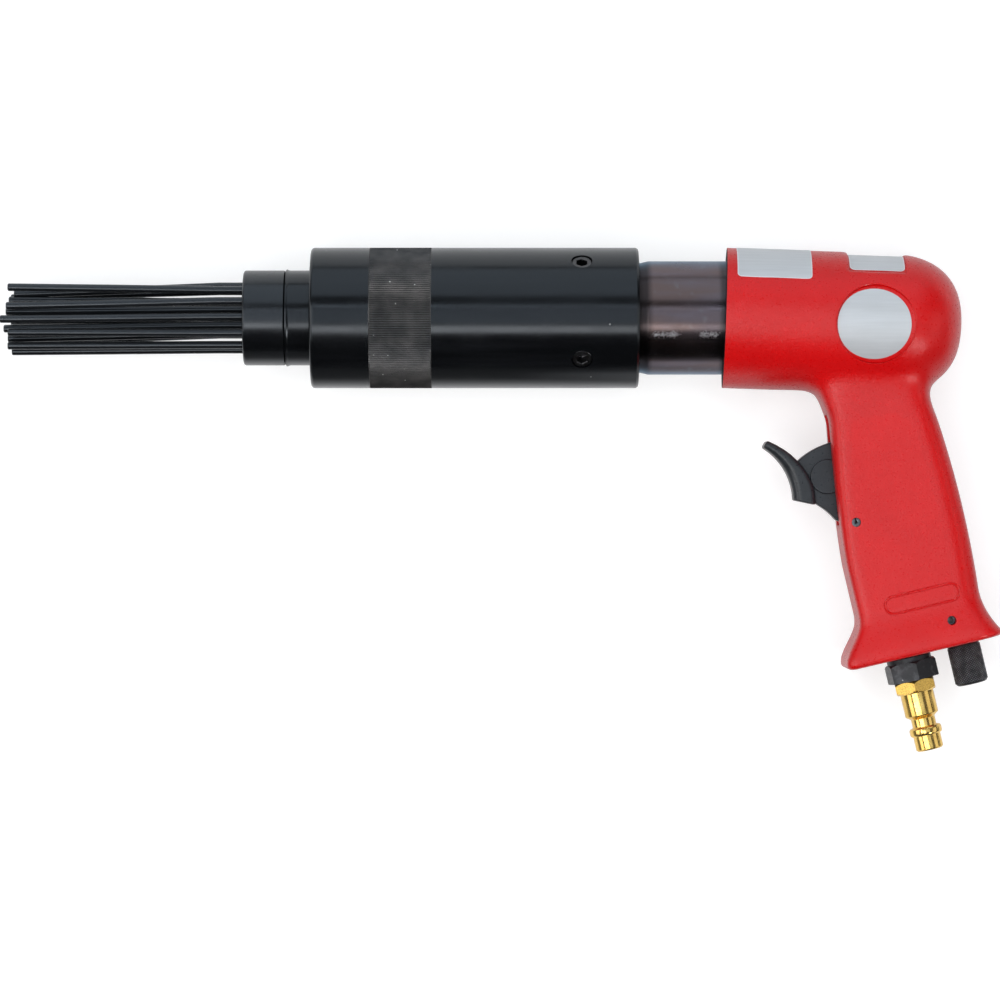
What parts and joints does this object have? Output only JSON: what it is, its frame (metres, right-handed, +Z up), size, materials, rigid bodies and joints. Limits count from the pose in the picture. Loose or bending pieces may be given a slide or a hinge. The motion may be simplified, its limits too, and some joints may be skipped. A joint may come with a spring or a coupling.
{
  "type": "needle scaler",
  "caption": "Pistol-grip pneumatic needle scaler: a bundle of steel needles in a sliding clamped tube, driven by an air hammer, with trigger, air regulator and hose plug.",
  "frame": {"origin": "on the bench under the middle of the tool's box, with the tool lying on its side", "axes": "+X from the needles towards the handle along the barrel, +Y from the grip towards the barrel, +Z up from the bench"},
  "size_m": [0.3842, 0.1938, 0.054],
  "materials": {
    "red_casting": "satin",
    "dark_trigger": "satin",
    "dark_steel": "satin",
    "bright_steel": "satin",
    "seal_rubber": "matte",
    "black_steel": "satin",
    "brass": "polished",
    "blued_steel": "satin",
    "tube_steel": "satin",
    "needle_steel": "satin"
  },
  "bodies": {
    "handle": {"handle": "red_casting", "barrel": "blued_steel", "trigger_pin": "dark_steel", "valve_seat": "seal_rubber", "throttle_spring": "bright_steel", "inlet_bushing": "black_steel", "inlet_screen": "bright_steel", "hose_plug": "brass", "regulator_pin": "dark_steel", "valve_cover": "bright_steel", "valve_case": "bright_steel", "locating_pin": "bright_steel"},
    "trigger": {"trigger": "dark_trigger"},
    "push_pin": {"push_pin": "bright_steel"},
    "tip_valve": {"tip_valve": "bright_steel"},
    "regulator": {"regulator": "black_steel", "regulator_o_ring": "seal_rubber"},
    "tube": {"tube": "tube_steel", "nose_cap": "tube_steel", "needle_guide": "dark_steel", "set_screws": "dark_steel", "needle_spring": "bright_steel"},
    "piston": {"piston": "bright_steel"},
    "anvil": {"anvil": "bright_steel"},
    "needles": {"needle_holder": "dark_steel", "needle_1": "needle_steel", "needle_2": "needle_steel", "needle_3": "needle_steel", "needle_4": "needle_steel", "needle_5": "needle_steel", "needle_6": "needle_steel", "needle_7": "needle_steel", "needle_8": "needle_steel", "needle_9": "needle_steel", "needle_10": "needle_steel", "needle_11": "needle_steel", "needle_12": "needle_steel", "needle_13": "needle_steel", "needle_14": "needle_steel", "needle_15": "needle_steel", "needle_16": "needle_steel", "needle_17": "needle_steel", "needle_18": "needle_steel", "needle_19": "needle_steel"},
    "valve_plate": {"valve_plate": "bright_steel"}
  },
  "joints": [
    {"name": "trigger_pull", "type": "hinge", "parent": "handle", "child": "trigger", "pos_m": [0.13595, -0.00858, 0.027], "axis": [0, 0, -1], "range_deg": [0, 14], "stiffness_Nm_per_rad": 0.8, "springref_deg": -11.46},
    {"name": "push_pin_slide", "type": "slide", "parent": "handle", "child": "push_pin", "axis": [0.9732, 0.23, 0], "range_m": [0, 0.0023]},
    {"name": "valve_tilt", "type": "hinge", "parent": "handle", "child": "tip_valve", "pos_m": [0.14736, -0.03814, 0.027], "axis": [0, 0, -1], "range_deg": [0, 3.3], "deforming": ["throttle_spring"]},
    {"name": "regulator_turn", "type": "hinge", "parent": "handle", "child": "regulator", "pos_m": [0.17821, -0.0552, 0.027], "axis": [-0.23, 0.9732, 0], "continuous": true},
    {"name": "tube_adjust", "type": "slide", "parent": "handle", "child": "tube", "axis": [1, 0, 0], "range_m": [-0.01, 0.01], "deforming": ["needle_spring"]},
    {"name": "piston_stroke", "type": "slide", "parent": "handle", "child": "piston", "axis": [1, 0, 0], "range_m": [0, 0.06]},
    {"name": "anvil_slide", "type": "slide", "parent": "handle", "child": "anvil", "axis": [-1, 0, 0], "range_m": [0, 0.006], "stiffness_N_per_m": 3000, "springref_m": -0.01, "deforming": ["needle_spring"]},
    {"name": "needle_slide", "type": "slide", "parent": "anvil", "child": "needles", "axis": [-1, 0, 0], "range_m": [0, 0.008], "stiffness_N_per_m": 3000, "springref_m": -0.01, "deforming": ["needle_spring"]},
    {"name": "valve_flutter", "type": "slide", "parent": "handle", "child": "valve_plate", "axis": [-1, 0, 0], "range_m": [0, 0.0012]}
  ],
  "couplings": [
    {"joint": "push_pin_slide", "follows": "trigger_pull", "m_per_rad": 0.009},
    {"joint": "valve_tilt", "follows": "trigger_pull", "ratio": 0.2273}
  ]
}
